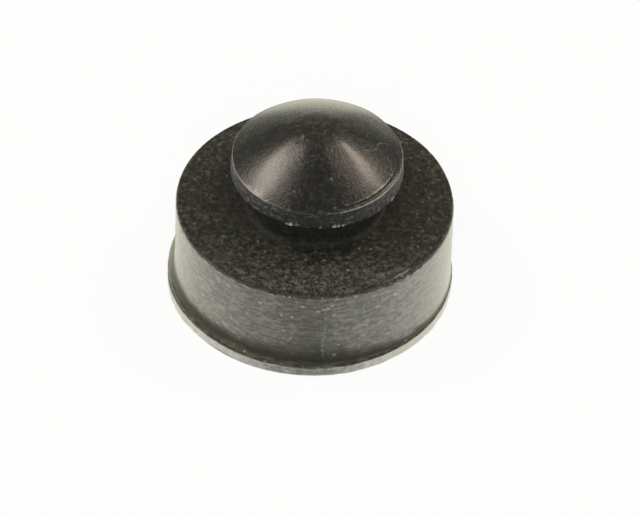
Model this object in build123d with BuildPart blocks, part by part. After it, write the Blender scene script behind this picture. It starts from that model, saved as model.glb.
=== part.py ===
from build123d import *
import os
from math import asin, cos, degrees, radians, sin, tan

# A push-in rubber grommet, moulded in one piece of black rubber: a thick round foot
# pad, a short neck that a panel's hole grips, and a mushroom head that is squeezed
# through that hole. It stands here on its foot pad, head up.
#
# Lengths are in millimetres and angles in degrees. The origin is on the axis of the
# foot pad, on the plane it stands on, with +Z up through the head.

# Foot pad: the thick cushion that takes the load
shoulder_diameter = 19.05
pad_height = 7.1
wall_draft = 1.2
shoulder_edge_radius = 0.18

# Lip: the thin skirt round the bottom of the pad. The mould half that forms it sits a
# little to one side, so its axis is not the axis of the pad.
lip_reach = 0.30
lip_height = 0.75
lip_top_angle = 55.0
lip_offset_x = -0.20
lip_edge_break = 0.08

# Neck: the waist between shoulder and head, as long as the panel is thick
neck_diameter = 9.1
groove_width = 2.85
neck_root_radius = 0.45
neck_top_radius = 0.35

# Head: a low band with a pointed crown over it, whose flank flattens towards the tip
head_diameter = 11.75
head_band_height = 1.25
head_band_draft = 5.0
head_low_edge_radius = 0.12
rim_edge_radius = 0.07
crown_rim_angle = 34.0
crown_flank_radius = 24.5
crown_tip_radius = 5.0

# Radii and heights that follow from the sizes above
shoulder_radius = shoulder_diameter / 2
wall_foot_radius = shoulder_radius + pad_height * tan(radians(wall_draft))
lip_radius = wall_foot_radius + lip_reach
neck_radius = neck_diameter / 2
head_radius = head_diameter / 2
head_underside = pad_height + groove_width
rim_height = head_underside + head_band_height
rim_radius = head_radius - head_band_height * tan(radians(head_band_draft))

# The lip's sloped top is carried this far in from the lip's edge, where the wall of the
# pad has swallowed it on every side
lip_run_in = 2 * (lip_reach + abs(lip_offset_x))
lip_inner_radius = lip_radius - lip_run_in
lip_inner_height = lip_height + lip_run_in * tan(radians(lip_top_angle))

# The flank of the crown meets the ball of the tip where both have this slope
flank_rise = crown_flank_radius * sin(radians(crown_rim_angle)) - rim_radius
tip_angle = degrees(asin(flank_rise / (crown_flank_radius - crown_tip_radius)))

with BuildPart() as grommet:
    # Pad, neck and head: one half section turned about the pad's axis
    with BuildSketch(Plane.XZ) as pad_section:
        with BuildLine():
            side = FilletPolyline(
                (wall_foot_radius, 0),
                (shoulder_radius, pad_height),
                (neck_radius, pad_height),
                (neck_radius, head_underside),
                (head_radius, head_underside),
                (rim_radius, rim_height),
                radius=[shoulder_edge_radius, neck_root_radius, neck_top_radius, head_low_edge_radius],
            )
            flank = JernArc(
                start=side @ 1,
                tangent=(-cos(radians(crown_rim_angle)), sin(radians(crown_rim_angle))),
                radius=crown_flank_radius,
                arc_size=crown_rim_angle - tip_angle,
            )
            tip = JernArc(start=flank @ 1, tangent=flank % 1, radius=crown_tip_radius, arc_size=tip_angle)
            Polyline(tip @ 1, (0, 0), side @ 0)
        make_face()
        rim_corner = pad_section.vertices().sort_by_distance(side @ 1)[0]
        fillet(rim_corner, rim_edge_radius)
    revolve(axis=Axis.Z)

    # Lip: its own section turned about its own axis. It meets the wall in a sharp crease,
    # as two mould halves leave it.
    with BuildSketch(Plane.XZ.shift_origin((lip_offset_x, 0, 0))) as lip_section:
        with BuildLine():
            Polyline(
                (0, 0),
                (lip_radius, 0),
                (lip_radius, lip_height),
                (lip_inner_radius, lip_inner_height),
                (0, lip_inner_height),
                close=True,
            )
        make_face()
        lip_corners = lip_section.vertices().group_by(Axis.X)[-1]
        chamfer(lip_corners, lip_edge_break)
    revolve(axis=Axis((lip_offset_x, 0, 0), (0, 0, 1)))

grommet.part.label = "rubber_grommet"

os.makedirs("parts", exist_ok=True)
export_step(grommet.part, "parts/rubber_grommet.step")

print("height", round(grommet.part.bounding_box().size.Z, 3), "tip angle", round(tip_angle, 2))
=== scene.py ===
# %% [markdown]
# # A black rubber push-in grommet
#
# The grommet is one moulding: a thick round foot pad, a waist that a panel's hole grips,
# and a mushroom head with a pointed crown. Everything about it is round, so the whole
# skin can be one surface of revolution. Its charm is in small faults: a lip that sits off
# centre because two mould halves did not line up, cutter marks that the rubber copied from
# the mould, a torn bit of flash under the head, and pale dust on black rubber.
#
# The imported model is loaded first. It fixes the size, and it stays in the scene, hidden once the
# skin is built.

# %% Load the frame
import math

import bpy
import numpy as np
from mathutils import Matrix, Vector


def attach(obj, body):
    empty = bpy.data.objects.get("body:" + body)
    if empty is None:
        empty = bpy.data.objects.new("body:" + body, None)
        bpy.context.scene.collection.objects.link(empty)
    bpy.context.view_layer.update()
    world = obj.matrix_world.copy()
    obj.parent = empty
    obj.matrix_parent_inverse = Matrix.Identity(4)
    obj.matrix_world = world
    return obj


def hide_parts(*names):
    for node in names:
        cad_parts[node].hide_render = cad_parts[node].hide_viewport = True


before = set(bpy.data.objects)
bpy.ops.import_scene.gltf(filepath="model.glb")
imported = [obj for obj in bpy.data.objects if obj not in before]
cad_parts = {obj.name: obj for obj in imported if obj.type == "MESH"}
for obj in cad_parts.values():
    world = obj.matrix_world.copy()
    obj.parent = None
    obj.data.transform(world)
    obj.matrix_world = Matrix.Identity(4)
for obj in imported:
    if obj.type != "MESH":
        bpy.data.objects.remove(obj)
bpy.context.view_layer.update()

# %% [markdown]
# ## Sizes
#
# The script thinks in millimetres and turns them to metres once, when a mesh is made. The
# sizes are those of the moulding. The skin that is built from them has to fill the same box
# as the imported model.

# %% Sizes in millimetres
MM = 0.001
SHOULDER_RADIUS = 9.525
PAD_HEIGHT = 7.1
WALL_DRAFT = 1.2
SHOULDER_EDGE = 0.18
LIP_REACH = 0.30
LIP_HEIGHT = 0.75
LIP_TOP_ANGLE = 55.0
LIP_OFFSET = -0.20
LIP_EDGE = 0.10
HOLLOW_SHARE = 0.6
HOLLOW_RISE = 1.3
HOLLOW_SHRINKS = 0.45
FOOT_EDGE = 0.08
FOOT_RING = 0.6
NECK_RADIUS = 4.55
GROOVE_WIDTH = 2.85
NECK_ROOT = 0.45
NECK_TOP = 0.35
HEAD_RADIUS = 5.875
HEAD_LEAN = 0.08
BAND_HEIGHT = 1.25
BAND_DRAFT = 5.0
HEAD_LOW_EDGE = 0.12
RIM_EDGE = 0.07
CROWN_RIM_ANGLE = 34.0
CROWN_FLANK = 24.5
CROWN_TIP = 5.0


def tan_deg(angle):
    """The tangent of an angle in degrees."""
    return math.tan(math.radians(angle))


WALL_FOOT_RADIUS = SHOULDER_RADIUS + PAD_HEIGHT * tan_deg(WALL_DRAFT)
LIP_RADIUS = WALL_FOOT_RADIUS + LIP_REACH
UNDERSIDE = PAD_HEIGHT + GROOVE_WIDTH
RIM_HEIGHT = UNDERSIDE + BAND_HEIGHT
RIM_RADIUS = HEAD_RADIUS - BAND_HEIGHT * tan_deg(BAND_DRAFT)
print("lip radius", round(LIP_RADIUS, 3), "rim", round(RIM_RADIUS, 3), "at", round(RIM_HEIGHT, 3))

# %% [markdown]
# ## The section, stretch by stretch
#
# A turned shape is a profile carried round an axis. Here each point of the profile may also
# change with the angle round the axis, because the lip has an axis of its own. So a stretch
# of profile is a pair of arrays, radius and height, with one row for each step along the
# profile and one column for each step round the axis.
#
# Two kinds of stretch are enough: straight ones, and arcs of a circle.

# %% Straight stretches and arcs
AROUND = 528
theta = np.linspace(0, 2 * np.pi, AROUND, endpoint=False)


def straight(r0, z0, r1, z1, steps):
    """Radius and height run evenly from the first pair to the second. Each of the four may be
    one number or a number for every angle. The last point is left to the next stretch."""
    t = np.linspace(0, 1, steps, endpoint=False)[:, None]
    r0, z0, r1, z1 = (np.broadcast_to(v, theta.shape) for v in (r0, z0, r1, z1))
    return r0 + (r1 - r0) * t, z0 + (z1 - z0) * t


def arc(rc, zc, radius, from_deg, to_deg, steps):
    """A circle's arc in the section: centre plus radius times cosine and sine of an angle that
    runs evenly from the first to the second, measured up from straight outwards."""
    a = np.radians(np.linspace(from_deg, to_deg, steps, endpoint=False))[:, None]
    ones = np.ones_like(theta)
    return rc * ones + radius * np.cos(a) * ones, zc * ones + radius * np.sin(a) * ones


# %% [markdown]
# A corner is rounded by a circle that touches both of its sides. If the two sides face along
# the unit normals n and m, the circle's centre is the corner moved back by
# radius * (n + m) / (1 + n . m). The arc then runs from the angle of n to the angle of m.

# %% Rounded corners
def corner_arc(r, z, radius, from_deg, to_deg, steps):
    """The arc that rounds an outside corner, from one side's normal angle to the other's."""
    a, b = math.radians(from_deg), math.radians(to_deg)
    pull = radius / (1 + math.cos(a - b))
    rc = r - pull * (math.cos(a) + math.cos(b))
    zc = z - pull * (math.sin(a) + math.sin(b))
    return arc(rc, zc, radius, from_deg, to_deg, steps)


def corner_end(r, z, radius, from_deg, to_deg):
    """The point where a rounded corner's arc ends, as one number each for radius and height."""
    end = corner_arc(r, z, radius, to_deg, from_deg, 1)
    return end[0][0], end[1][0]


# %% [markdown]
# An inside corner that changes round the part, such as the hollow between lip and wall, is
# easier as a quadratic curve: it leaves one side at a first point, heads for the corner, and
# joins the other side at a last point.

# %% Blended hollows
def blend(first, corner, last, steps):
    """Radius and height of a quadratic curve: (1 - t) squared times the first point, plus
    2 t (1 - t) times the corner, plus t squared times the last point."""
    t = np.linspace(0, 1, steps, endpoint=False)[:, None]
    weights = np.square(1 - t), 2 * t * (1 - t), np.square(t)
    r = sum(w * p[0] for w, p in zip(weights, (first, corner, last)))
    z = sum(w * p[1] for w, p in zip(weights, (first, corner, last)))
    return r, z


# %% [markdown]
# ## Lip: circles round a shifted axis
#
# The lip is worked out round its own axis and then measured from the pad's axis. Its sloped
# top climbs until it meets the wall. The height of that crease changes round the pad, so it
# is found for every angle at once: guess a height, see how far the wall is from the lip's
# axis there, read the height of the slope at that distance, and repeat a few times.

# %% Lip profile
def lip_circle(radius):
    """Distance from the pad's axis to a circle round the lip's axis, for each angle: the shift
    along this direction, plus what Pythagoras leaves of the circle's radius across it."""
    along = LIP_OFFSET * np.cos(theta)
    across = LIP_OFFSET * np.sin(theta)
    return along + np.sqrt(np.square(radius) - np.square(across))


def round_lip_axis(stretch):
    """The same stretch of profile, with its radius measured from the pad's axis."""
    return lip_circle(stretch[0]), stretch[1]


def wall_radius(height):
    """The wall leans out towards the foot, so its radius falls evenly with the height."""
    return WALL_FOOT_RADIUS - height * tan_deg(WALL_DRAFT)


def crease():
    """Radius round the lip's axis, and height, where the slope of the lip meets the wall."""
    height = np.full_like(theta, LIP_HEIGHT)
    for _ in range(8):
        wall = wall_radius(height)
        from_lip_axis = np.hypot(wall * np.cos(theta) - LIP_OFFSET, wall * np.sin(theta))
        height = LIP_HEIGHT + (LIP_RADIUS - from_lip_axis) * tan_deg(LIP_TOP_ANGLE)
    return from_lip_axis, height


crease_radius, crease_height = crease()
lowest, highest = crease_height.min(), crease_height.max()
print("crease between", round(lowest, 2), "and", round(highest, 2), "mm up")

# %% [markdown]
# ## The whole profile
#
# The stretches follow each other from the middle of the foot face, out and up over lip, wall
# and shoulder, in to the neck, out again under the head, and over the crown to its tip. Each
# has a name, so that finishes and small faults can be put on it later. Rows lie close where
# the profile bends or carries a fault, and far apart where it is plain. The first values say
# how far from an edge the close rows reach, in millimetres or in degrees of the crown.
#
# Between lip and wall lies a hollow. It starts on the lip's slope, a share of the way out
# from the crease, and it joins the wall at a rise above the crease, which shrinks towards
# the left and the right.

# %% Profile of the grommet
FINE_WALL = 0.6
FINE_SHOULDER = 1.0
FINE_CROWN_ANGLE = 1.8
RIM_GAP_ANGLE = 0.1

lip_normal = 90 - LIP_TOP_ANGLE
flank_normal = 90 - CROWN_RIM_ANGLE
flank_centre = (
    RIM_RADIUS - CROWN_FLANK * math.cos(math.radians(flank_normal)),
    RIM_HEIGHT - CROWN_FLANK * math.sin(math.radians(flank_normal)),
)
tip_normal = math.degrees(math.acos(-flank_centre[0] / (CROWN_FLANK - CROWN_TIP)))
tip_centre = flank_centre[1] + (CROWN_FLANK - CROWN_TIP) * math.sin(math.radians(tip_normal))
rim_zone_normal = flank_normal + FINE_CROWN_ANGLE

slope_start = corner_end(LIP_RADIUS, LIP_HEIGHT, LIP_EDGE, 0, lip_normal)
hollow_foot = (
    lip_circle(crease_radius + (slope_start[0] - crease_radius) * HOLLOW_SHARE),
    crease_height + (slope_start[1] - crease_height) * HOLLOW_SHARE,
)
hollow_end = crease_height + HOLLOW_RISE * (1 - HOLLOW_SHRINKS * np.abs(np.cos(theta)))
hollow_top = (wall_radius(hollow_end), hollow_end)

foot_edge = round_lip_axis(straight(LIP_RADIUS - FOOT_EDGE, 0, LIP_RADIUS, FOOT_EDGE, 3))
lip_edge = round_lip_axis(corner_arc(LIP_RADIUS, LIP_HEIGHT, LIP_EDGE, 0, lip_normal, 5))
shoulder_edge = corner_arc(SHOULDER_RADIUS, PAD_HEIGHT, SHOULDER_EDGE, WALL_DRAFT, 90, 10)
wall_break = shoulder_edge[1][0] - FINE_WALL
shoulder_break = SHOULDER_RADIUS - FINE_SHOULDER
neck_root = arc(NECK_RADIUS + NECK_ROOT, PAD_HEIGHT + NECK_ROOT, NECK_ROOT, 270, 180, 7)
neck_top = arc(NECK_RADIUS + NECK_TOP, UNDERSIDE - NECK_TOP, NECK_TOP, 180, 90, 5)
low_edge = corner_arc(HEAD_RADIUS, UNDERSIDE, HEAD_LOW_EDGE, -90, BAND_DRAFT, 9)
band_start = corner_end(HEAD_RADIUS, UNDERSIDE, HEAD_LOW_EDGE, -90, BAND_DRAFT)
rim_edge = corner_arc(RIM_RADIUS, RIM_HEIGHT, RIM_EDGE, BAND_DRAFT, flank_normal, 6)

profile = {
    "foot_face": straight(FOOT_RING, 0, foot_edge[0][0], 0, 4),
    "foot_edge": foot_edge,
    "lip_side": straight(lip_circle(LIP_RADIUS), FOOT_EDGE, lip_edge[0][0], lip_edge[1][0], 5),
    "lip_edge": lip_edge,
    "lip_slope": straight(lip_circle(slope_start[0]), slope_start[1], *hollow_foot, 6),
    "hollow": blend(hollow_foot, (wall_radius(crease_height), crease_height), hollow_top, 14),
    "wall": straight(*hollow_top, wall_radius(wall_break), wall_break, 12),
    "wall_top": straight(
        wall_radius(wall_break), wall_break, shoulder_edge[0][0], shoulder_edge[1][0], 6,
    ),
    "shoulder_edge": shoulder_edge,
    "shoulder_rim": straight(
        SHOULDER_RADIUS - SHOULDER_EDGE, PAD_HEIGHT, shoulder_break, PAD_HEIGHT, 9,
    ),
    "shoulder": straight(shoulder_break, PAD_HEIGHT, NECK_RADIUS + NECK_ROOT, PAD_HEIGHT, 12),
    "neck_root": neck_root,
    "neck": straight(NECK_RADIUS, PAD_HEIGHT + NECK_ROOT, NECK_RADIUS, UNDERSIDE - NECK_TOP, 6),
    "neck_top": neck_top,
    "underside": straight(NECK_RADIUS + NECK_TOP, UNDERSIDE, low_edge[0][0], UNDERSIDE, 5),
    "low_edge": low_edge,
    "band": straight(*band_start, rim_edge[0][0], rim_edge[1][0], 10),
    "rim_edge": rim_edge,
    "crown_rim": arc(
        *flank_centre, CROWN_FLANK, flank_normal + RIM_GAP_ANGLE, rim_zone_normal, 16,
    ),
    "flank": arc(*flank_centre, CROWN_FLANK, rim_zone_normal, tip_normal, 24),
    "tip": arc(0, tip_centre, CROWN_TIP, tip_normal, 90, 12),
}

rows = {}
row_count = 0
for name, (r, z) in profile.items():
    rows[name] = slice(row_count, row_count + len(r))
    row_count += len(r)
radius = np.vstack([r for r, z in profile.values()])
height = np.vstack([z for r, z in profile.values()])
print(row_count, "rows of", AROUND, "points,", 2 * row_count * AROUND, "triangles")

# %% [markdown]
# ## Distance along the skin, and which way it faces
#
# Two more arrays describe the section. One is the distance walked along it from the foot, in
# millimetres. Cutter marks, dust rings and worn edges all follow it. The other is the outward
# normal: the step from the row before to the row after, turned by a right angle.

# %% Walked distance and normals
def walked(radius, height):
    """Length of the section up to each row: the running sum of the straight steps."""
    step = np.hypot(np.diff(radius, axis=0), np.diff(height, axis=0))
    return np.vstack([np.zeros(AROUND), np.cumsum(step, axis=0)])


def section_normals(radius, height):
    """Outward unit normals in the section. A step (dr, dz) has the normal (dz, -dr)."""
    dr = np.gradient(radius, axis=0)
    dz = np.gradient(height, axis=0)
    length = np.hypot(dr, dz)
    return dz / length, -dr / length


section_mm = walked(radius, height)
normal_r, normal_z = section_normals(radius, height)
print("the section is", round(section_mm.max(), 1), "mm long")

# %% [markdown]
# ## Small faults in the shape
#
# Rubber parts are never quite round. The mould was turned and dressed by hand, the halves
# shift, and the edges tear a little when the part is pulled out. Each fault is a height over
# the skin, in millimetres, made from a few simple parts:
#
# * ring waves, which close up round the axis because each is a whole number of waves,
# * a bell over the angle, which keeps a fault to one side,
# * a bell over the walked distance, which keeps it to one edge.

# %% Waves and bells
def ring_waves(fewest, most, drift, seed):
    """A sum of cosines of whole multiples of the angle. Each has a random phase, which drifts
    along the section by some radians for each millimetre, and they add up to a spread of 1."""
    rng = np.random.default_rng(seed)
    turns = np.arange(fewest, most + 1)[:, None, None]
    phase = rng.uniform(0, 2 * np.pi, turns.shape)
    slide = rng.normal(0, drift, turns.shape)
    waves = np.cos(turns * theta + phase + slide * section_mm)
    return waves.sum(axis=0) / math.sqrt(len(turns) / 2)


def angle_bell(centre_deg, width_deg):
    """One at an angle and falling to nothing either side: exp of minus the squared distance,
    where the distance goes the short way round and is counted in widths."""
    away = (np.degrees(theta) - centre_deg + 180) % 360 - 180
    return np.exp(-np.square(away / width_deg))


def edge_bell(name, width, shift=0.0):
    """One on the middle row of a named stretch and falling to nothing either side of it."""
    middle = (rows[name].start + rows[name].stop) // 2
    away = section_mm - section_mm[middle] - shift
    return np.exp(-np.square(away / width))


def on(*names):
    """One on the rows of the named stretches and zero on all others."""
    chosen = np.zeros((row_count, 1))
    for name in names:
        chosen[rows[name]] = 1
    return chosen


def row_by_row(name, first, last):
    """A number for each row of a named stretch, running evenly from the first to the last."""
    return np.linspace(first, last, len(profile[name][0]))


# %% [markdown]
# The faults themselves:
#
# * the whole skin wanders by about a hundredth of a millimetre,
# * the lip swells and thins, because it is the flash end of the mould,
# * the shoulder's edge has fine nicks, which are deeper along a short run at the front left,
#   and one torn sliver at the front right,
# * a ragged fringe of flash hangs under the head's band, with a few longer shreds in front,
# * the crown's half of the mould sat a little to the back left, so a fine ledge with a groove
#   behind it shows inside the rim at the front right.

# %% Faults as heights over the skin
wander = 0.010 * ring_waves(2, 9, 0.5, 1)

lip_swell = 0.030 * ring_waves(2, 6, 0.0, 2) + 0.008 * ring_waves(15, 60, 0.0, 3)
lip_swell = lip_swell * on("lip_side", "lip_edge") + lip_swell * on("lip_slope") * 0.4

edge_waves = ring_waves(18, 90, 0.3, 4)
worn_run = 1 + 1.5 * angle_bell(-136, 9)
nick_depth = 0.018 * np.clip(edge_waves - 0.5, 0, None) * worn_run
edge_nicks = -nick_depth * edge_bell("shoulder_edge", 0.16)
jagged = np.clip(0.8 + 0.5 * ring_waves(50, 150, 3.0, 23), 0, 1.8)
torn_sliver = angle_bell(-50, 6.0) * jagged * (
    -0.13 * edge_bell("shoulder_edge", 0.12, 0.02)
    + 0.09 * edge_bell("shoulder_edge", 0.09, 0.30)
    - 0.07 * edge_bell("shoulder_edge", 0.07, 0.50)
)

tears = np.clip(ring_waves(14, 80, 0.4, 5) - 0.2, 0, 1.6)
shreds = (
    angle_bell(-106, 3.2) + 0.5 * angle_bell(-86, 1.8) + angle_bell(-75, 4.2)
    + 0.7 * angle_bell(-30, 4)
)
shreds = shreds * np.clip(0.9 + 0.4 * ring_waves(40, 120, 2.0, 29), 0, 1.5)
flash = (0.018 * tears + 0.050 * shreds) * edge_bell("low_edge", 0.10)
flash = flash * on("underside", "low_edge", "band")
band_lumps = 0.006 * ring_waves(10, 70, 2.5, 6) * on("band")

ledge_side = angle_bell(-48, 34)
rim_bead = 0.020 * edge_bell("rim_edge", 0.07) * (0.5 + ledge_side)
rim_groove = -0.035 * ledge_side * edge_bell("rim_edge", 0.07, 0.22)
inner_bead = 0.016 * ledge_side * edge_bell("rim_edge", 0.06, 0.38)

relief = (
    wander + lip_swell + edge_nicks + torn_sliver + flash + band_lumps
    + rim_bead + rim_groove + inner_bead
)
relief = relief * (1 - on("foot_face", "foot_edge"))
relief[rows["tip"]] *= row_by_row("tip", 1, 0)[:, None]
radius = radius + relief * normal_r
height = height + relief * normal_z
print("faults reach from", round(relief.min(), 3), "to", round(relief.max(), 3), "mm")

# %% [markdown]
# ## Skin mesh
#
# Radius, height and angle give the points. Neighbouring rows and columns are joined by
# quads, the last column is joined to the first so that there is no seam, and a single point
# closes each end. The head of a soft part never stands quite straight, so everything above
# the shoulder leans a little to one side.

# %% Build the skin
def into_scene(name, data):
    """A new object with this data, linked to the scene."""
    made = bpy.data.objects.new(name, data)
    bpy.context.scene.collection.objects.link(made)
    return made


def skin_points(radius, height):
    """Turns radius, height and angle into points: x and y are radius times cosine and sine of
    the angle, and z is the height. x is moved by the lean, which grows along the neck. The
    middle of the foot and the tip close the ends."""
    lean = HEAD_LEAN * np.clip((height - PAD_HEIGHT) / GROOVE_WIDTH, 0, 1)
    x = radius * np.cos(theta) + lean
    y = radius * np.sin(theta)
    grid = np.stack([x, y, height], axis=-1).reshape(-1, 3)
    foot_middle = [0, 0, 0]
    tip_point = [HEAD_LEAN, 0, tip_centre + CROWN_TIP]
    return np.vstack([grid, foot_middle, tip_point]) * MM


def skin_faces():
    """Quads between row i and i + 1 and column j and j + 1, wound to face outwards, and a fan
    of triangles at each end."""
    j = np.arange(AROUND)
    k = (j + 1) % AROUND
    first = np.arange(row_count - 1)[:, None] * AROUND
    quads = np.stack([first + j, first + k, first + AROUND + k, first + AROUND + j], axis=-1)
    last = (row_count - 1) * AROUND
    foot_fan = np.stack([k, j, np.full_like(j, row_count * AROUND)], axis=-1)
    tip_fan = np.stack([last + j, last + k, np.full_like(j, row_count * AROUND + 1)], axis=-1)
    return quads.reshape(-1, 4).tolist() + foot_fan.tolist() + tip_fan.tolist()


def build_skin(name):
    """A smooth mesh from the points and the faces."""
    mesh = bpy.data.meshes.new(name)
    mesh.from_pydata(skin_points(radius, height).tolist(), [], skin_faces())
    mesh.polygons.foreach_set("use_smooth", [True] * len(mesh.polygons))
    mesh.update()
    return into_scene(name, mesh)


grommet = build_skin("grommet_skin")
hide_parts("rubber_grommet")
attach(grommet, "root")
print(len(grommet.data.polygons), "faces")

# %% [markdown]
# ## What the materials need to know about the shape
#
# Three numbers go with every point of the skin, so that the materials can follow it:
#
# * the walked distance, which cutter marks run across,
# * how worn or highlit the point is: edges rub pale, and some carry painted highlights,
# * how much dust and bloom lies there, together with painted shade and painted glare.
#
# They could be painted by hand. Here they are worked out from the same arrays as the shape, so
# they stay in step with it. Wear, dust and painted light are not even round the part: the sides
# carry a painted glare, more on the right, and the front differs from the back. So a few masks of
# the angle come first.

# %% Sides of the part
in_front = np.clip(-np.sin(theta), 0, 1)
behind = np.clip(np.sin(theta), 0, 1)
# painted_side_glare paints the bright sides of the wall, the shoulder edge and the lip, a painted
# reflection of the white surroundings, stronger on the right.
painted_side_glare = np.abs(np.cos(theta)) + 0.8 * np.clip(np.cos(theta), 0, 1)
# painted_corner_glare is used only for the lip's painted reflection at its front corners.
painted_corner_glare = 2 * in_front * np.abs(np.cos(theta))
print("angle masks for", AROUND, "columns")

# %% [markdown]
# Edges that stand proud rub pale, and this mask also carries painted highlights. The rim of
# the head, a patch inside it at the front left and the ledge inside it are painted highlights
# with a little wear. The torn fringe under the head and the torn sliver rub pale. The outside of
# the lip is a painted reflection of the white table, and a pale hair line runs where the wall
# turns into the shoulder.

# %% Worn edges
# Painted highlights: the rim's line catches the lamps and is fainter at the front, and the patch at
# the front left is the end of the left lamp's fan.
rim_highlight = edge_bell("rim_edge", 0.06) * (1 - 0.9 * angle_bell(-98, 24))
rim_patch_highlight = edge_bell("rim_edge", 0.35, 0.30) * angle_bell(-136, 12)
ledge_highlight = edge_bell("rim_edge", 0.05, 0.38) * ledge_side
torn_fringe = 0.4 * edge_bell("low_edge", 0.12) * np.clip(tears, 0, 1)
torn_fringe = torn_fringe + 1.4 * edge_bell("low_edge", 0.18, 0.03) * shreds
sliver_line = 1.25 * edge_bell("shoulder_edge", 0.09, 0.29) * angle_bell(-50, 6.5)
# Painted reflection: the outside of the lip is pale at the sides and the front corners, where the
# white table lights it.
lip_glare = (0.35 * painted_side_glare + 0.55 * painted_corner_glare) * on("lip_side", "lip_edge")
wear_and_highlights = (
    0.75 * rim_highlight + 0.38 * rim_patch_highlight + 0.55 * ledge_highlight + torn_fringe + 0.95 * sliver_line
    + lip_glare + 0.30 * edge_bell("shoulder_edge", 0.05, -0.12)
)
print("exposed points", int((wear_and_highlights > 0.3).sum()))

# %% [markdown]
# Dust lies away from the neck, and the shoulder is kept darker near it as painted shade under the
# head, less so in front. Dust is also swept into a line along the front of the shoulder. On the
# wall it starts above the crease, which is kept dark as painted shade, and the dark band there is
# ragged and narrower at the sides. The slope of the lip pales again towards its edge. The crown
# has a little more dust at the tip, and is paler behind as a painted reflection of the bright
# sweep at its far edge.

# %% Dust and bloom
def step_up(values, start, run):
    """Zero up to the start, one past the run, and a straight climb between."""
    return np.clip((values - start) / run, 0, 1)


def radius_bell(centre, width):
    """One at a distance from the axis and falling to nothing either side of it."""
    return np.exp(-np.square((radius - centre) / width))


# Painted shade: the wall is kept dark in the crease and lightens above it, in a ragged band that is
# narrower at the sides.
above = (height - crease_height) * (1 + 2.4 * np.cos(theta) ** 2)
above = above - 0.10 * ring_waves(6, 50, 1.2, 19)
out_of_crease_shade = 0.03 + 0.62 * step_up(above, 0.30, 1.20) + 0.35 * step_up(above, 1.0, 1.6)
# Painted shade: the shoulder is kept darker near the neck, under the head, and less so in front of
# it.
away_from_neck = step_up(radius + 0.9 * in_front ** 2, 4.7, 3.8)
swept = (
    1.8 - 2.0 * radius_bell(9.27, 0.15) + 1.8 * radius_bell(8.66, 0.14)
    - 0.7 * radius_bell(8.20, 0.18)
)
# towards_lip lightens the lip's slope and the lip's end of the hollow, out of the painted crease
# shade.
towards_lip = np.zeros((row_count, 1))
towards_lip[rows["lip_slope"], 0] = row_by_row("lip_slope", 1.9, 0.9)
towards_lip[rows["hollow"], 0] = np.clip(row_by_row("hollow", 0.8, -1.6), 0, 1)

# dust_and_painted_light holds dust and bloom, and also painted shade in the crease, near the neck
# and at the band's front, and painted glare at the sides, on the lip and behind the crown.
dust_and_painted_light = (
    away_from_neck * (1 + in_front ** 2 * swept) * on("shoulder", "shoulder_rim")
    # Painted glare: the side terms of the shoulder edge and the wall are painted reflection, not
    # dust.
    + (0.75 + 1.5 * painted_side_glare) * on("shoulder_edge")
    + out_of_crease_shade * (0.70 + 1.5 * painted_side_glare) * on("hollow", "wall", "wall_top")
    + towards_lip
    # The lip's side is pale as a painted reflection of the white table, more so at the sides.
    + (2.4 + 2.0 * painted_side_glare) * on("lip_side", "lip_edge")
    # Painted shade: the head's band is darker at the front, where it faces the dark shoulder.
    + (1 - 0.8 * in_front ** 2) * on("low_edge", "band")
    # Painted reflection: the crown is paler behind, where its far edge mirrors the bright sweep;
    # the tip has a little more dust.
    + (0.7 + 1.3 * behind + 1.2 * radius_bell(0, 1.9)) * on("rim_edge", "crown_rim", "flank", "tip")
)
print("dust from", round(dust_and_painted_light.min(), 2), "to", round(dust_and_painted_light.max(), 2))

# %% Store them on the mesh
def point_attribute(name, values, foot_value, tip_value):
    """One number for each point of the grid, and one each for the two points that close it."""
    attribute = grommet.data.attributes.new(name, "FLOAT", "POINT")
    everything = np.concatenate([values.ravel(), [foot_value, tip_value]])
    attribute.data.foreach_set("value", everything.astype(np.float32))


point_attribute("section_mm", section_mm, 0, section_mm.max())
point_attribute("wear_and_highlights", np.clip(wear_and_highlights, 0, 1), 0, 0)
point_attribute("dust_and_painted_light", dust_and_painted_light, 0, 0)
print("attributes", [a.name for a in grommet.data.attributes if a.domain == "POINT"])

# %% [markdown]
# ## Node tools
#
# A node tree is easier to read as code when each node is one line. `node` adds one, sets its
# properties, and fills its inputs: a socket is linked and a number is set. `calc` and `times`
# do sums with Math nodes. `start_group` opens an empty node group: each of the groups below
# is given a place and some numbers, and puts out one number.

# %% Node tools
def node(tree, kind, inputs=None, **settings):
    """Adds a node. Inputs are given by name or number; a socket is linked, a value is set."""
    made = tree.nodes.new(kind)
    for key, value in settings.items():
        setattr(made, key, value)
    for key, value in (inputs or {}).items():
        if isinstance(value, bpy.types.NodeSocket):
            tree.links.new(value, made.inputs[key])
        else:
            made.inputs[key].default_value = value
    return made


def calc(tree, operation, *values):
    """One Math node, with its values in order. Returns its output."""
    return node(tree, "ShaderNodeMath", dict(enumerate(values)), operation=operation).outputs[0]


def times(tree, first, *others):
    """The product of two or more values, from one Math node for each further value."""
    for other in others:
        first = calc(tree, "MULTIPLY", first, other)
    return first


def ramp_between(tree, value, low, high):
    """Zero below the first limit, one above the second, and smooth between. The limits may
    come in falling order."""
    made = node(
        tree, "ShaderNodeMapRange", {"Value": value, "From Min": low, "From Max": high},
        interpolation_type="SMOOTHSTEP",
    )
    return made.outputs["Result"]


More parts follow.
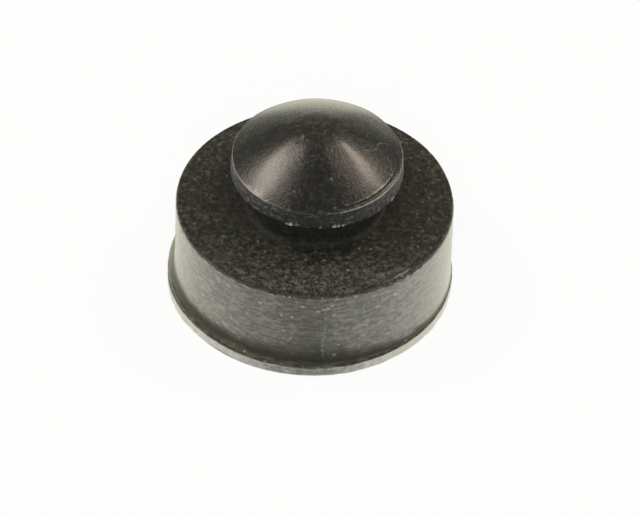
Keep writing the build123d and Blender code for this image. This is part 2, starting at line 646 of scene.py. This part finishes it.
def start_group(name, numbers, output):
    """An empty node group with a Place, the numbers with their defaults, and one output."""
    tree = bpy.data.node_groups.new(name, "ShaderNodeTree")
    tree.interface.new_socket("Place", in_out="INPUT", socket_type="NodeSocketVector")
    for label, default in numbers.items():
        socket = tree.interface.new_socket(label, in_out="INPUT", socket_type="NodeSocketFloat")
        socket.default_value = default
    tree.interface.new_socket(output, in_out="OUTPUT", socket_type="NodeSocketFloat")
    return tree, tree.nodes.new("NodeGroupInput").outputs, tree.nodes.new("NodeGroupOutput").inputs


# %% [markdown]
# ## Effect: cutter marks
#
# The mould was turned on a lathe, and the rubber copied the fine rings of the cutter. Noise
# gives them when it is sampled in a stretched space: the walked distance is divided by the
# small pitch of the rings, and the way round is divided by the length of a mark. The result
# is streaks that run round the part, whether they lie on the wall, the shoulder or the crown.

# %% Cutter marks
def make_cutter_marks():
    tree, given, result = start_group(
        "cutter_marks", {"Along": 0.0, "Pitch": 0.15, "Length": 2.0}, "Height",
    )
    place = node(tree, "ShaderNodeSeparateXYZ", {0: given["Place"]}).outputs
    stretched = node(
        tree, "ShaderNodeCombineXYZ",
        {
            0: calc(tree, "DIVIDE", place["X"], given["Length"]),
            1: calc(tree, "DIVIDE", place["Y"], given["Length"]),
            2: calc(tree, "DIVIDE", given["Along"], given["Pitch"]),
        },
    )
    noise = node(
        tree, "ShaderNodeTexNoise",
        {"Vector": stretched.outputs[0], "Scale": 1.0, "Detail": 2.5, "Roughness": 0.6},
    )
    tree.links.new(noise.outputs["Fac"], result["Height"])
    return tree


cutter_marks = make_cutter_marks()
print("group", cutter_marks.name)

# %% [markdown]
# ## Effect: specks of dust
#
# Dust on rubber is a scatter of separate pale grains, some bigger than others. A Voronoi
# texture gives one point in each cell and a random colour for the cell. One channel of that
# colour decides whether the cell has a grain at all, and another how big it is. The distance
# to the point then draws the grain.

# %% Dust specks
def make_specks():
    tree, given, result = start_group(
        "dust_specks", {"Cell": 0.3, "Size": 0.25, "Share": 0.3}, "Mask",
    )
    cells = node(
        tree, "ShaderNodeTexVoronoi",
        {"Vector": given["Place"], "Scale": calc(tree, "DIVIDE", 1.0, given["Cell"])},
    ).outputs
    chance = node(tree, "ShaderNodeSeparateColor", {0: cells["Color"]}).outputs
    grows = calc(tree, "MULTIPLY_ADD", chance["Red"], 0.8, 0.2)
    grain = times(tree, given["Size"], grows)
    core = times(tree, grain, 0.4)
    drawn = ramp_between(tree, cells["Distance"], grain, core)
    kept = calc(tree, "LESS_THAN", chance["Green"], given["Share"])
    bright = calc(tree, "MULTIPLY_ADD", chance["Blue"], 0.7, 0.3)
    shown = times(tree, drawn, kept, bright)
    tree.links.new(shown, result["Mask"])
    return tree


specks = make_specks()
print("group", specks.name)

# %% [markdown]
# ## Effect: mottle
#
# Old rubber is never one even black. Bloom and finger marks leave pale clusters on it, from
# a tenth of a millimetre to a few millimetres across. This is plain noise cut off from
# below: everything under the first limit is bare rubber, and everything over the second is
# fully pale. High limits give a few clusters on black, and low ones give an even film.

# %% Mottle
def make_mottle():
    tree, given, result = start_group(
        "mottle", {"Patch": 1.0, "Bare Below": 0.4, "Pale Above": 0.7}, "Value",
    )
    noise = node(
        tree, "ShaderNodeTexNoise",
        {
            "Vector": given["Place"], "Scale": calc(tree, "DIVIDE", 1.0, given["Patch"]),
            "Detail": 4.0, "Roughness": 0.6,
        },
    )
    value = ramp_between(tree, noise.outputs["Fac"], given["Bare Below"], given["Pale Above"])
    tree.links.new(value, result["Value"])
    return tree


mottle = make_mottle()
print("group", mottle.name)

# %% [markdown]
# ## Effect: a fine line
#
# A stray fibre, a scratch and a flow mark are all thin lines. The group works in its own
# flat plane: the line runs along x, sways as a sine of x, and bends as x squared. What is
# left of y after the sway and the bend is the distance from the line. Noise thins it here
# and there, because a fibre never lies flat all the way.

# %% Fine lines
def make_fine_line():
    tree, given, result = start_group(
        "fine_line",
        {
            "Half Length": 0.7, "Half Width": 0.04,
            "Sway": 0.0, "Waves": 4.0, "Bend": 0.0, "Depth": 1.5,
        },
        "Mask",
    )
    place = node(tree, "ShaderNodeSeparateXYZ", {0: given["Place"]}).outputs
    wave = calc(tree, "SINE", times(tree, place["X"], given["Waves"]))
    swayed = times(tree, wave, given["Sway"])
    bent = times(tree, place["X"], place["X"], given["Bend"])
    off_line = calc(tree, "SUBTRACT", place["Y"], calc(tree, "ADD", swayed, bent))
    near = ramp_between(tree, calc(tree, "ABSOLUTE", off_line), given["Half Width"], 0.0)
    within = ramp_between(
        tree, calc(tree, "ABSOLUTE", place["X"]), given["Half Length"],
        times(tree, given["Half Length"], 0.7),
    )
    patchy = node(
        tree, "ShaderNodeTexNoise", {"Vector": given["Place"], "Scale": 6.0, "Detail": 2.0},
    )
    thinned = ramp_between(tree, patchy.outputs["Fac"], 0.38, 0.54)
    this_side = ramp_between(tree, calc(tree, "ABSOLUTE", place["Z"]), given["Depth"], 0.0)
    this_side = calc(tree, "MINIMUM", times(tree, this_side, 3.0), 1.0)
    tree.links.new(times(tree, near, within, thinned, this_side), result["Mask"])
    return tree


fine_line = make_fine_line()
print("group", fine_line.name)

# %% [markdown]
# ## One recipe for rubber, four finishes
#
# Every part of the skin is the same black rubber, but each face left the mould and met the
# world in its own way. So one recipe builds the material, and each finish gives it its own
# colours and amounts:
#
# * the base colour runs from a dark to a pale tone with the mottle, the cutter marks and the
#   attribute of dust and painted light, and the pale tone is browner in stained patches,
# * worn edges rub pale, and painted highlights show, where noise lets them,
# * specks of dust lie on top, though not in the painted shade near the neck, and are rough,
#   and so are places with little dust, such as the painted shade of the crease and the neck,
# * a thin film of wax and grease is the coat, and it follows the attribute of dust and painted
#   light,
# * sheen is the pale edge that dusty rubber shows where it turns away,
# * the marks and a fine grain go to the bump.
#
# The mottle and the specks are squashed along the height, so that they lie along the wall.
# Fine lines are laid over all of it with a Mapping node each. Places are in millimetres and
# bump heights in thousandths of one.

# %% Helpers for the recipe
def grouped(tree, group, inputs):
    """Adds a node group with the given inputs and returns its only output."""
    return node(tree, "ShaderNodeGroup", inputs, node_tree=group).outputs[0]


MIX_FACTOR, MIX_FIRST, MIX_SECOND, MIX_RESULT = 0, 6, 7, 2


def mixed(tree, factor, *colors):
    """Mixes two colours, each given as a socket or as red, green and blue. The Mix node has
    sockets for every kind of value, so those for colours are found by their numbers."""
    first, second = (c if isinstance(c, bpy.types.NodeSocket) else (*c, 1) for c in colors)
    inputs = {MIX_FACTOR: factor, MIX_FIRST: first, MIX_SECOND: second}
    return node(tree, "ShaderNodeMix", inputs, data_type="RGBA").outputs[MIX_RESULT]


def line_turn(direction, across):
    """The turn that lays a line's own x along its direction and its own y across it."""
    x = Vector(direction).normalized()
    y = Vector(across)
    y = (y - x * y.dot(x)).normalized()
    return Matrix((x, y, x.cross(y))).transposed().to_euler()


# %% Rubber recipe
GRIT_RANGE = {"Bare Below": 0.15, "Pale Above": 0.85}
STAIN_RANGE = {"Bare Below": 0.46, "Pale Above": 0.66}
SPECK_SIZE = 0.42
SPECK_ROUGH = 0.25
SPECK_HEIGHT = 4.0
DUSTY_SHEEN = (1.0, 0.99, 0.76, 1)


def rubber(name, finish, blemishes=()):
    """A rubber material. The finish is a dictionary of colours and amounts, and each blemish
    is a fine line with a spot, a direction, a side it is flat to, a shape and a colour."""
    material = bpy.data.materials.new(name)
    material.use_nodes = True
    tree = material.node_tree
    shader = tree.nodes["Principled BSDF"]
    here = node(tree, "ShaderNodeTexCoord").outputs["Object"]
    place = node(
        tree, "ShaderNodeVectorMath", {0: here, "Scale": 1 / MM}, operation="SCALE",
    ).outputs[0]
    along, wear_and_highlights, dust_and_painted_light = (
        node(tree, "ShaderNodeAttribute", attribute_name=stored).outputs["Fac"]
        for stored in ("section_mm", "wear_and_highlights", "dust_and_painted_light")
    )

    flat = node(
        tree, "ShaderNodeVectorMath", {0: place, 1: (1.0, 1.0, finish["flatten"])},
        operation="MULTIPLY",
    ).outputs[0]

    marks = grouped(
        tree, cutter_marks,
        {"Place": place, "Along": along, "Pitch": finish["pitch"], "Length": finish["mark_length"]},
    )
    bloom_range = {"Bare Below": finish["bare_below"], "Pale Above": finish["pale_above"]}
    blotches = grouped(tree, mottle, {"Place": flat, "Patch": finish["blotch"], **bloom_range})
    grain = grouped(tree, mottle, {"Place": flat, "Patch": finish["grain"], **bloom_range})
    grit = grouped(tree, mottle, {"Place": place, "Patch": finish["grit"], **GRIT_RANGE})
    stain = grouped(
        tree, mottle, {"Place": place, "Patch": finish["stain_patch"], **STAIN_RANGE},
    )
    dust = grouped(
        tree, specks,
        {
            "Place": flat, "Cell": finish["speck_cell"],
            "Size": SPECK_SIZE, "Share": finish["speck_share"],
        },
    )
    # Specks are hidden where the attribute is low, in the painted shade near the neck and in the
    # crease.
    settles = calc(tree, "MINIMUM", times(tree, dust_and_painted_light, 3.0), 1.0)
    dust = times(tree, dust, settles)

    streaks = ramp_between(tree, marks, 0.42, 0.66)
    tone = times(tree, blotches, finish["blotch_amount"])
    tone = calc(tree, "MULTIPLY_ADD", streaks, finish["streak_amount"], tone)
    tone = calc(tree, "MULTIPLY_ADD", grain, finish["grain_amount"], tone)
    cover = times(tree, dust_and_painted_light, calc(tree, "MULTIPLY_ADD", blotches, 0.5, 0.85))
    dulled = calc(tree, "MINIMUM", cover, finish["dust_limit"])
    shown = calc(tree, "MULTIPLY_ADD", dulled, finish["dust_amount"], finish["bare_amount"])
    tone = times(tree, tone, shown)
    pale = mixed(tree, stain, finish["pale"], finish["stain"])
    color = mixed(tree, tone, finish["dark"], pale)
    # Wear and painted highlights share this pale colour.
    worn_or_highlit = ramp_between(tree, calc(tree, "MULTIPLY_ADD", blotches, 0.4, wear_and_highlights), 0.25, 1.0)
    color = mixed(tree, worn_or_highlit, color, finish["worn_or_highlit"])
    color = mixed(tree, dust, color, finish["speck"])
    for blemish in blemishes:
        settled = node(
            tree, "ShaderNodeMapping",
            {
                "Vector": place, "Location": blemish["spot"],
                "Rotation": line_turn(blemish["direction"], blemish["across"]),
            },
            vector_type="TEXTURE",
        ).outputs[0]
        line = grouped(tree, fine_line, {"Place": settled, **blemish["shape"]})
        color = mixed(tree, line, color, blemish["color"])
    tree.links.new(color, shader.inputs["Base Color"])

    bloom = calc(tree, "ADD", blotches, grain)
    rough = calc(tree, "MULTIPLY_ADD", bloom, finish["rough_spread"], finish["rough"])
    rough = calc(tree, "MULTIPLY_ADD", dust, SPECK_ROUGH, rough)
    # Rough where there is little dust: the painted shade of the crease and the neck, and the
    # underside.
    undusted = calc(tree, "MAXIMUM", calc(tree, "SUBTRACT", 1.0, dust_and_painted_light), 0.0)
    rough = calc(tree, "MULTIPLY_ADD", undusted, finish["undusted_rough"], rough)
    tree.links.new(rough, shader.inputs["Roughness"])

    relief = times(tree, marks, finish["mark_depth"])
    relief = calc(tree, "MULTIPLY_ADD", grit, finish["grit_depth"], relief)
    relief = calc(tree, "MULTIPLY_ADD", dust, SPECK_HEIGHT, relief)
    bump = node(
        tree, "ShaderNodeBump", {"Strength": 1.0, "Distance": 0.001 * MM, "Height": relief},
    )
    tree.links.new(bump.outputs["Normal"], shader.inputs["Normal"])

    shader.inputs["Coat Weight"].default_value = finish["film_even"]
    if finish["film_spots"]:
        film = calc(tree, "MULTIPLY_ADD", tone, finish["film_spots"], finish["film_even"])
        film = calc(tree, "MINIMUM", times(tree, film, cover), 1.0)
        tree.links.new(film, shader.inputs["Coat Weight"])
    shader.inputs["Coat Roughness"].default_value = finish["film_rough"]
    shader.inputs["Coat IOR"].default_value = finish["film_ior"]
    shader.inputs["IOR"].default_value = finish["ior"]
    shader.inputs["Sheen Weight"].default_value = finish["sheen"]
    shader.inputs["Sheen Roughness"].default_value = finish["sheen_rough"]
    shader.inputs["Sheen Tint"].default_value = DUSTY_SHEEN
    return material


# %% [markdown]
# The four finishes follow. The turned one is grey with bloom and has a dull film. The matte
# one is dark and rough. The band's is mottled in strong patches. The satin one is the
# blackest and has a smooth film, which is what shows the lamps as two bright fans.

# %% Turned rubber for lip and wall
turned = rubber("turned_rubber", {
    "dark": (0.003, 0.003, 0.0025), "pale": (0.158, 0.158, 0.088), "stain": (0.194, 0.174, 0.084),
    "worn_or_highlit": (0.48, 0.46, 0.39), "speck": (0.34, 0.33, 0.27),
    "flatten": 1.5, "pitch": 0.20, "mark_length": 1.1,
    "blotch": 0.46, "grain": 0.16, "grit": 0.12, "stain_patch": 1.1,
    "speck_cell": 0.56, "speck_share": 0.26,
    "blotch_amount": 0.32, "streak_amount": 0.27, "grain_amount": 0.36,
    "bare_below": 0.38, "pale_above": 0.78,
    "bare_amount": 0.17, "dust_amount": 0.80, "dust_limit": 1.1,
    "rough": 0.34, "rough_spread": 0.12, "undusted_rough": 0.45, "mark_depth": 5.0, "grit_depth": 9.0,
    "ior": 1.5, "sheen": 0.80, "sheen_rough": 0.42,
    "film_even": 0.22, "film_spots": 0.50, "film_rough": 0.34, "film_ior": 2.1,
}, [
    {
        "spot": (0.90, -9.56, 3.7), "direction": (0.02, 0, 1), "across": (1, 0, 0),
        "shape": {"Half Length": 2.5, "Half Width": 0.11, "Sway": 0.06, "Waves": 1.7},
        "color": (0.118, 0.120, 0.096),
    },
    {
        "spot": (0.90, -9.52, 6.0), "direction": (1, 0, 0), "across": (0, 0, 1),
        "shape": {"Half Length": 0.20, "Half Width": 0.10, "Bend": 5.0},
        "color": (0.26, 0.26, 0.22),
    },
    {
        "spot": (0.88, -9.60, 2.1), "direction": (1, 0, 0), "across": (0, 0, 1),
        "shape": {"Half Length": 0.22, "Half Width": 0.07, "Bend": 6.0},
        "color": (0.24, 0.24, 0.20),
    },
    # This mark is a broad dark brown patch in the crease at the front left: painted shade that
    # widens the dark crease there.
    {
        "spot": (-4.9, -8.35, 1.15), "direction": (0.86, -0.51, 0), "across": (0, 0, 1),
        "shape": {"Half Length": 1.0, "Half Width": 0.45},
        "color": (0.070, 0.048, 0.032),
    },
])
print(turned.name)

# %% Matte rubber for shoulder and neck
matte = rubber("matte_rubber", {
    "dark": (0.010, 0.010, 0.0072), "pale": (0.110, 0.113, 0.090), "stain": (0.112, 0.103, 0.080),
    "worn_or_highlit": (0.20, 0.19, 0.16), "speck": (0.20, 0.195, 0.16),
    "flatten": 1.0, "pitch": 0.22, "mark_length": 0.9,
    "blotch": 0.36, "grain": 0.16, "grit": 0.16, "stain_patch": 0.55,
    "speck_cell": 0.40, "speck_share": 0.24,
    "blotch_amount": 0.44, "streak_amount": 0.08, "grain_amount": 0.36,
    "bare_below": 0.44, "pale_above": 0.82,
    "bare_amount": 0.80, "dust_amount": 1.0, "dust_limit": 3.0,
    "rough": 0.48, "rough_spread": 0.16, "undusted_rough": 0.12, "mark_depth": 3.0, "grit_depth": 16.0,
    "ior": 1.5, "sheen": 0.10, "sheen_rough": 0.3,
    "film_even": 0.0, "film_spots": 0.0, "film_rough": 0.5, "film_ior": 1.5,
}, [
    {
        "spot": (3.3, -5.6, 7.1), "direction": (0.9, 0.4, 0), "across": (-0.4, 0.9, 0),
        "shape": {"Half Length": 0.45, "Half Width": 0.32, "Sway": 0.1, "Waves": 6.0},
        "color": (0.100, 0.056, 0.047),
    },
])
print(matte.name)

# %% Mottled rubber for the head's band
banded = rubber("band_rubber", {
    "dark": (0.001, 0.001, 0.0008), "pale": (0.072, 0.074, 0.056), "stain": (0.080, 0.066, 0.048),
    "worn_or_highlit": (0.36, 0.36, 0.26), "speck": (0.22, 0.22, 0.18),
    "flatten": 1.5, "pitch": 0.16, "mark_length": 0.9,
    "blotch": 0.35, "grain": 0.13, "grit": 0.14, "stain_patch": 0.7,
    "speck_cell": 0.34, "speck_share": 0.25,
    "blotch_amount": 0.80, "streak_amount": 0.12, "grain_amount": 0.60,
    "bare_below": 0.46, "pale_above": 0.74,
    "bare_amount": 0.35, "dust_amount": 1.7, "dust_limit": 2.0,
    "rough": 0.48, "rough_spread": 0.16, "undusted_rough": 0.0, "mark_depth": 4.0, "grit_depth": 18.0,
    "ior": 1.4, "sheen": 0.05, "sheen_rough": 0.35,
    "film_even": 0.25, "film_spots": 0.5, "film_rough": 0.40, "film_ior": 1.9,
})
print(banded.name)

# %% Satin rubber for the crown
satin = rubber("satin_rubber", {
    "dark": (0.001, 0.001, 0.0008), "pale": (0.040, 0.041, 0.030), "stain": (0.062, 0.046, 0.030),
    "worn_or_highlit": (0.28, 0.28, 0.23), "speck": (0.17, 0.165, 0.14),
    "flatten": 1.0, "pitch": 0.14, "mark_length": 0.7,
    "blotch": 0.36, "grain": 0.20, "grit": 0.17, "stain_patch": 1.0,
    "speck_cell": 0.40, "speck_share": 0.05,
    "blotch_amount": 0.60, "streak_amount": 0.12, "grain_amount": 0.45,
    "bare_below": 0.38, "pale_above": 0.80,
    "bare_amount": 0.1, "dust_amount": 0.9, "dust_limit": 3.0,
    "rough": 0.16, "rough_spread": 0.12, "undusted_rough": 0.0, "mark_depth": 2.0, "grit_depth": 20.0,
    "ior": 1.60, "sheen": 0.30, "sheen_rough": 0.16,
    "film_even": 1.0, "film_spots": 0.0, "film_rough": 0.20, "film_ior": 1.32,
}, [
    {
        "spot": (4.05, -0.15, 12.3), "direction": (1.5, 1.75, 0), "across": (-1.75, 1.5, 0),
        "shape": {"Half Length": 1.4, "Half Width": 0.08, "Sway": 0.15, "Waves": 3.3},
        "color": (0.170, 0.172, 0.150),
    },
    {
        "spot": (3.2, 2.7, 12.2), "direction": (2.7, -1.2, 0), "across": (1.2, 2.7, 0),
        "shape": {"Half Length": 2.2, "Half Width": 0.08, "Bend": -0.09},
        "color": (0.30, 0.30, 0.26),
    },
])
print(satin.name)

# %% [markdown]
# ## Which finish goes where
#
# The material of a face follows the row it lies on. Lip and wall are turned, shoulder and
# neck are matte, the head's band is mottled, and the crown is satin. The shoulder's rounded
# edge is shared: its lower rows still belong to the wall. The two fans at the ends take the
# finish of the first and the last row.

# %% Finishes on the skin
finish_of_row = np.zeros(row_count, dtype=np.int32)
for finish_number, names in enumerate([
    ("foot_face", "foot_edge", "lip_side", "lip_edge", "lip_slope", "hollow", "wall", "wall_top"),
    ("shoulder_edge", "shoulder_rim", "shoulder", "neck_root", "neck", "neck_top", "underside"),
    ("low_edge", "band"),
    ("rim_edge", "crown_rim", "flank", "tip"),
]):
    for name in names:
        finish_of_row[rows[name]] = finish_number

WALL_SHARE_OF_EDGE = 6
finish_of_row[rows["shoulder_edge"]][:WALL_SHARE_OF_EDGE] = 0

for material in (turned, matte, banded, satin):
    grommet.data.materials.append(material)
quad_finish = np.repeat(finish_of_row[:-1], AROUND)
fan_finish = np.repeat(finish_of_row[[0, -1]], AROUND)
face_finish = np.concatenate([quad_finish, fan_finish])
grommet.data.polygons.foreach_set("material_index", face_finish)
grommet.data.update()
print("faces of each finish", np.bincount(face_finish))

# %% [markdown]
# ## Floor
#
# The grommet stands on a plain white table. The table is a pale matte surface, and what the
# camera and reflections see of it is mostly an even white, mixed in by the kind of ray. The
# rest is the lit surface, which keeps the soft shadow under the part. The table is a strip,
# wide from left to right, and behind the part it ends where the shadow ends. Past that the far
# side of the crown mirrors the warm white sweep of the backdrop.

# %% Floor
def white_to_the_eye(tree, share):
    """A mixing factor: the given share for rays from the camera, from gloss and through
    glass, and nothing for the rays that carry light from one surface to another."""
    rays = node(tree, "ShaderNodeLightPath").outputs
    seen = calc(tree, "MAXIMUM", rays["Is Camera Ray"], rays["Is Glossy Ray"])
    seen = calc(tree, "MAXIMUM", seen, rays["Is Transmission Ray"])
    return times(tree, seen, share)


HALF_WIDE, FRONT_EDGE, BACK_EDGE = 1.0, -0.045, 0.028
EVEN_WHITE = 0.92

floor_mesh = bpy.data.meshes.new("floor")
corners = [
    (-HALF_WIDE, FRONT_EDGE, 0), (HALF_WIDE, FRONT_EDGE, 0),
    (HALF_WIDE, BACK_EDGE, 0), (-HALF_WIDE, BACK_EDGE, 0),
]
floor_mesh.from_pydata(corners, [], [(0, 1, 2, 3)])
floor = into_scene("floor", floor_mesh)

table = bpy.data.materials.new("white_table")
table.use_nodes = True
tree = table.node_tree
paint = tree.nodes["Principled BSDF"]
paint.inputs["Base Color"].default_value = (0.93, 0.93, 0.92, 1)
paint.inputs["Roughness"].default_value = 0.8
white = node(tree, "ShaderNodeEmission", {"Strength": 1.0})
blended = node(
    tree, "ShaderNodeMixShader",
    {0: white_to_the_eye(tree, EVEN_WHITE), 1: paint.outputs[0], 2: white.outputs[0]},
)
tree.links.new(blended.outputs[0], tree.nodes["Material Output"].inputs["Surface"])
floor_mesh.materials.append(table)
print("floor", floor.dimensions[:2])

# %% [markdown]
# ## World
#
# Behind the table hangs a white sweep, and the rest of the room is dim. Seen directly, or
# through glass, the world is the table's white all round, so the table's edge doesn't show.
# As light and in gloss it is a warm white only low down and behind, and a plain dim grey
# elsewhere. That is what makes a black cone readable: its far edge mirrors the sweep, and its
# front mirrors the room. With white all round, the fine gloss of black rubber would turn it
# grey.

# %% World
DIM_GREY = (0.20, 0.20, 0.182)
WARM_WHITE = (1.0, 0.99, 0.79)
TABLE_WHITE = (0.988, 0.984, 0.977, 1)

world = bpy.data.worlds.new("studio")
bpy.context.scene.world = world
world.use_nodes = True
tree = world.node_tree
direction = node(tree, "ShaderNodeTexCoord").outputs["Generated"]
way = node(tree, "ShaderNodeSeparateXYZ", {0: direction}).outputs
low_down = ramp_between(tree, way["Z"], -0.12, -0.23)
far_side = ramp_between(tree, way["Y"], -0.45, 0.25)
bright = times(tree, low_down, far_side)
room_color = mixed(tree, bright, DIM_GREY, WARM_WHITE)
room = tree.nodes["Background"]
tree.links.new(room_color, room.inputs["Color"])
sweep = node(tree, "ShaderNodeBackground", {"Color": TABLE_WHITE, "Strength": 1.0})
rays = node(tree, "ShaderNodeLightPath").outputs
seen = calc(tree, "MAXIMUM", rays["Is Camera Ray"], rays["Is Transmission Ray"])
blended = node(tree, "ShaderNodeMixShader", {0: seen, 1: room.outputs[0], 2: sweep.outputs[0]})
tree.links.new(blended.outputs[0], tree.nodes["World Output"].inputs["Surface"])
print("world", world.name)

# %% [markdown]
# ## Lamps
#
# Two softboxes stand left and right, a little behind the part. Each one is mirrored by the
# line of the crown that faces halfway between it and the camera, and that is the bright fan
# on each side of the dark middle. Small warm boxes give fans that show the rubber's grain.
# A large soft lamp in front lights the wall and is kept out of gloss, because it would put a
# third fan into the dark middle.

# %% Lamps
AIM_HEIGHT = 0.008


def softbox(name, azimuth, elevation, distance, width, tall, power, color=(1.0, 1.0, 1.0)):
    """A flat lamp that looks at the head. Azimuth 0 is in front, and 90 is on the left."""
    a, e = math.radians(azimuth), math.radians(elevation)
    way = Vector((-math.sin(a) * math.cos(e), -math.cos(a) * math.cos(e), math.sin(e)))
    light = bpy.data.lights.new(name, "AREA")
    light.shape = "RECTANGLE"
    light.size = width
    light.size_y = tall
    light.energy = power
    light.color = color
    lamp = into_scene(name, light)
    lamp.location = way * distance + Vector((0, 0, AIM_HEIGHT))
    lamp.rotation_euler = (-way).to_track_quat("-Z", "Y").to_euler()
    return lamp


softbox(
    "left_softbox", azimuth=103, elevation=50, distance=0.30,
    width=0.100, tall=0.060, power=0.244, color=(1.0, 0.88, 0.76),
)
softbox(
    "right_softbox", azimuth=-116, elevation=48, distance=0.30,
    width=0.105, tall=0.065, power=0.222, color=(1.0, 0.83, 0.68),
)
fill = softbox(
    "front_fill", azimuth=0, elevation=48, distance=0.40, width=0.30, tall=0.30, power=0.90,
)
fill.visible_glossy = False

# %% [markdown]
# ## Camera
#
# The camera looks down at about 45 degrees from a hand's width away, with a long lens and a
# small roll. It is built from its three axes: z points back from the target, x is the level
# right turned by the roll and squared against z, and y is what is left.

# %% Camera
ELEVATION = math.radians(44.9)
ROLL = math.radians(1.85)
DISTANCE = 0.2
AIM_RIGHT = 0.000522
AIM_UP = 0.001022
FOCAL_LENGTH = 160.1
SENSOR_WIDTH = 36

ahead = Vector((0, math.cos(ELEVATION), -math.sin(ELEVATION)))
level_up = Vector((0, math.sin(ELEVATION), math.cos(ELEVATION)))
level_right = Vector((1, 0, 0))
rolled_right = level_right * math.cos(ROLL) + level_up * math.sin(ROLL)
rolled_up = level_up * math.cos(ROLL) - level_right * math.sin(ROLL)
stand = -ahead * DISTANCE
target = rolled_right * AIM_RIGHT + rolled_up * AIM_UP
axis_z = (stand - target).normalized()
axis_x = (rolled_right - axis_z * rolled_right.dot(axis_z)).normalized()
axis_y = axis_z.cross(axis_x)

lens = bpy.data.cameras.new("camera")
lens.lens = FOCAL_LENGTH
lens.sensor_width = SENSOR_WIDTH
lens.clip_start = 0.01
lens.clip_end = 10
camera = into_scene("camera", lens)
camera.matrix_world = Matrix((
    (axis_x.x, axis_y.x, axis_z.x, stand.x),
    (axis_x.y, axis_y.y, axis_z.y, stand.y),
    (axis_x.z, axis_y.z, axis_z.z, stand.z),
    (0, 0, 0, 1),
))
bpy.context.scene.camera = camera
bpy.context.scene.view_settings.view_transform = "Standard"
print("camera at", [round(v, 3) for v in stand])
